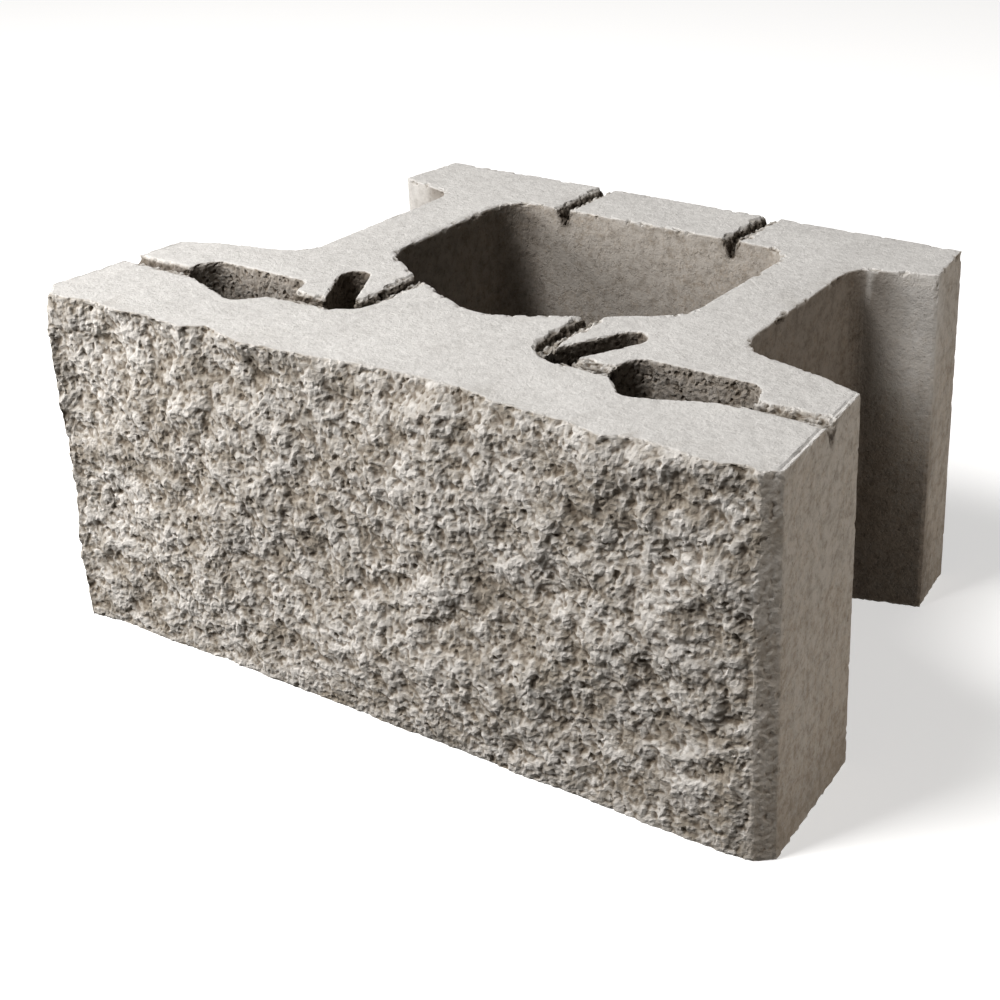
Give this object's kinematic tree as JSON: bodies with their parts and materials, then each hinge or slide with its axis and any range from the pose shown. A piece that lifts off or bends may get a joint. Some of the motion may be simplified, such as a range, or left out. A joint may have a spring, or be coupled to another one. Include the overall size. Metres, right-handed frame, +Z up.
{
  "type": "concrete retaining wall block",
  "caption": "Split-faced concrete retaining wall block with a central core, kidney holes, slanted pin slots and scored break lines in its top.",
  "frame": {"origin": "middle of the block's bounding box in plan, at its underside", "axes": "+X to the right of someone facing the split face, +Y from the split face to the back, +Z up as laid in a wall"},
  "size_m": [0.4572, 0.3048, 0.2032],
  "materials": {
    "concrete": "dry-cast grey concrete, moulded sides and one split rock face"
  },
  "bodies": {
    "root": {"concrete_block": "concrete"}
  },
  "joints": []
}
